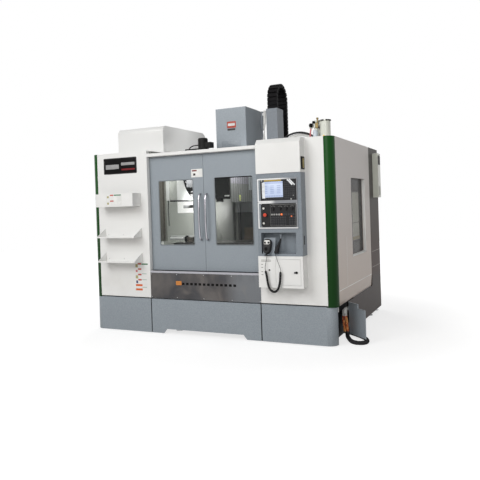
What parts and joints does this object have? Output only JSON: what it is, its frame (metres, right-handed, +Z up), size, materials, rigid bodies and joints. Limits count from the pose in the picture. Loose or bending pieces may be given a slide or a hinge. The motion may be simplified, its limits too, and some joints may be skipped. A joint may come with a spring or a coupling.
{
  "type": "cnc machining center",
  "caption": "Vertical machining centre: full splash enclosure, sliding doors, control station with handwheel pendant, table, spindle head, tool magazine and rear cabinet.",
  "frame": {"origin": "on the floor, under the middle of the bounding box of the machine without its free cords", "axes": "+X to the operator's right along the front, +Y from the front to the back, +Z up"},
  "size_m": [3.3988, 2.4365, 3.1],
  "materials": {
    "panel_white": "satin",
    "grey_paint": "hammertone",
    "shell_grey": "hammertone",
    "green_paint": "gloss",
    "dark_paint": "satin",
    "stainless": "polished",
    "cast": "painted",
    "machined": "ground",
    "black_paint": "satin",
    "black_plastic": "moulded",
    "chromed": "polished",
    "clear_pane": "clear",
    "cord_black": "smooth",
    "red_plastic": "gloss",
    "light_plastic": "satin",
    "cream_metal": "satin",
    "liner_paint": "satin",
    "hose_mix": "smooth"
  },
  "bodies": {
    "machine_frame": {"levelling_feet": "machined", "base_casting": "cast", "coolant_tank": "grey_paint", "front_skirts": "grey_paint", "front_panels": "panel_white", "corner_columns": "green_paint", "side_panels": "panel_white", "side_window": "clear_pane", "enclosure_frame": "panel_white", "kick_panel": "stainless", "cabin_liner": "liner_paint", "wall_trays": "panel_white", "electrical_cabinet": "dark_paint", "cabinet_cooler": "cream_metal", "magazine_hood": "panel_white", "arm_unit": "black_paint", "column": "cast", "control_box_top": "panel_white", "control_shell": "shell_grey", "cnc_unit": "black_plastic", "operator_panel": "black_plastic", "lower_box": "panel_white", "pendant_body": "black_plastic", "cord_upper": "cord_black", "cord_coil": "cord_black", "cord_lower": "cord_black", "air_unit": "cream_metal", "hose_bundle": "hose_mix", "floor_conduit": "cord_black"},
    "cabinet_door": {"cabinet_door": "dark_paint"},
    "main_switch": {"main_switch": "red_plastic"},
    "tool_carousel": {"tool_carousel": "black_paint"},
    "arm_lift": {"arm_shaft": "machined"},
    "change_arm": {"change_arm": "machined"},
    "head": {"spindle_head": "black_paint", "head_cover": "grey_paint", "cable_box": "grey_paint", "drag_chain": "black_plastic"},
    "spindle": {"spindle": "machined"},
    "saddle": {"saddle": "cast"},
    "table": {"table": "machined"},
    "left_door": {"door_left": "grey_paint", "door_glass_left": "clear_pane", "door_handle_left": "chromed"},
    "right_door": {"door_right": "grey_paint", "door_glass_right": "clear_pane", "door_handle_right": "chromed"},
    "stop_mushroom": {"stop_mushroom": "red_plastic"},
    "start_button": {"start_button": "light_plastic"},
    "hold_button": {"hold_button": "light_plastic"},
    "mode_knob": {"mode_knob": "black_plastic"},
    "feed_knob": {"feed_knob": "black_plastic"},
    "rapid_knob": {"rapid_knob": "black_plastic"},
    "speed_knob": {"speed_knob": "black_plastic"},
    "lower_door": {"lower_door": "panel_white"},
    "door_latch": {"door_latch": "black_plastic"},
    "pendant_wheel": {"pendant_wheel": "black_plastic"},
    "pendant_axis_knob": {"pendant_axis_knob": "black_plastic"},
    "pendant_step_knob": {"pendant_step_knob": "black_plastic"},
    "access_door": {"access_door": "grey_paint"}
  },
  "joints": [
    {"name": "head_feed", "type": "slide", "parent": "machine_frame", "child": "head", "axis": [0, 0, 1], "range_m": [-0.43, 0], "deforming": ["drag_chain"]},
    {"name": "spindle_spin", "type": "hinge", "parent": "head", "child": "spindle", "pos_m": [-0.12041, -0.531, 1.56], "axis": [0, 0, 1], "continuous": true},
    {"name": "saddle_feed", "type": "slide", "parent": "machine_frame", "child": "saddle", "axis": [0, 1, 0], "range_m": [-0.21, 0.21]},
    {"name": "table_feed", "type": "slide", "parent": "saddle", "child": "table", "axis": [1, 0, 0], "range_m": [-0.5, 0.5]},
    {"name": "left_door_slide", "type": "slide", "parent": "machine_frame", "child": "left_door", "axis": [1, 0, 0], "range_m": [-0.63, 0]},
    {"name": "right_door_slide", "type": "slide", "parent": "machine_frame", "child": "right_door", "axis": [1, 0, 0], "range_m": [0, 0.63]},
    {"name": "cabinet_door_hinge", "type": "hinge", "parent": "machine_frame", "child": "cabinet_door", "pos_m": [1.43859, 1.2, 1.1], "axis": [0, 0, 1], "range_deg": [-110, 0]},
    {"name": "main_switch_turn", "type": "hinge", "parent": "cabinet_door", "child": "main_switch", "pos_m": [0.56959, 1.203, 1.5], "axis": [0, 1, 0], "range_deg": [0, 90]},
    {"name": "carousel_spin", "type": "hinge", "parent": "machine_frame", "child": "tool_carousel", "pos_m": [-1.24541, 0.159, 2], "axis": [1, 0, 0], "continuous": true},
    {"name": "arm_lift_slide", "type": "slide", "parent": "machine_frame", "child": "arm_lift", "axis": [0, 0, 1], "range_m": [-0.11, 0]},
    {"name": "change_arm_swing", "type": "hinge", "parent": "arm_lift", "child": "change_arm", "pos_m": [-0.45041, -0.451, 1.5], "axis": [0, 0, 1], "range_deg": [0, 256]},
    {"name": "stop_press", "type": "slide", "parent": "machine_frame", "child": "stop_mushroom", "axis": [0, 1, 0], "range_m": [0, 0.006]},
    {"name": "start_press", "type": "slide", "parent": "machine_frame", "child": "start_button", "axis": [0, 1, 0], "range_m": [0, 0.004], "stiffness_N_per_m": 600},
    {"name": "hold_press", "type": "slide", "parent": "machine_frame", "child": "hold_button", "axis": [0, 1, 0], "range_m": [0, 0.004], "stiffness_N_per_m": 600},
    {"name": "mode_knob_turn", "type": "hinge", "parent": "machine_frame", "child": "mode_knob", "pos_m": [0.83059, -1.158, 1.459], "axis": [0, -1, 0], "range_deg": [-75, 75]},
    {"name": "feed_knob_turn", "type": "hinge", "parent": "machine_frame", "child": "feed_knob", "pos_m": [0.91059, -1.158, 1.459], "axis": [0, -1, 0], "range_deg": [-135, 135]},
    {"name": "rapid_knob_turn", "type": "hinge", "parent": "machine_frame", "child": "rapid_knob", "pos_m": [0.97759, -1.158, 1.459], "axis": [0, -1, 0], "range_deg": [-60, 60]},
    {"name": "speed_knob_turn", "type": "hinge", "parent": "machine_frame", "child": "speed_knob", "pos_m": [1.04359, -1.158, 1.459], "axis": [0, -1, 0], "range_deg": [-90, 90]},
    {"name": "lower_door_hinge", "type": "hinge", "parent": "machine_frame", "child": "lower_door", "pos_m": [0.83959, -1.161, 0.79], "axis": [0, 0, 1], "range_deg": [-100, 0], "deforming": ["cord_coil", "cord_upper"]},
    {"name": "latch_turn", "type": "hinge", "parent": "lower_door", "child": "door_latch", "pos_m": [1.07159, -1.161, 0.789], "axis": [0, -1, 0], "range_deg": [0, 90]},
    {"name": "pendant_wheel_spin", "type": "hinge", "parent": "machine_frame", "child": "pendant_wheel", "pos_m": [0.75059, -1.18435, 1.03524], "axis": [0, -0.9744, 0.225], "continuous": true},
    {"name": "pendant_axis_knob_turn", "type": "hinge", "parent": "machine_frame", "child": "pendant_axis_knob", "pos_m": [0.73059, -1.16883, 1.10247], "axis": [0, -0.9744, 0.225], "range_deg": [-60, 60]},
    {"name": "pendant_step_knob_turn", "type": "hinge", "parent": "machine_frame", "child": "pendant_step_knob", "pos_m": [0.77059, -1.16883, 1.10247], "axis": [0, -0.9744, 0.225], "range_deg": [-60, 60]},
    {"name": "access_door_hinge", "type": "hinge", "parent": "machine_frame", "child": "access_door", "pos_m": [1.44959, -0.564, 0.23], "axis": [0, 0, 1], "range_deg": [-20, 70]}
  ]
}
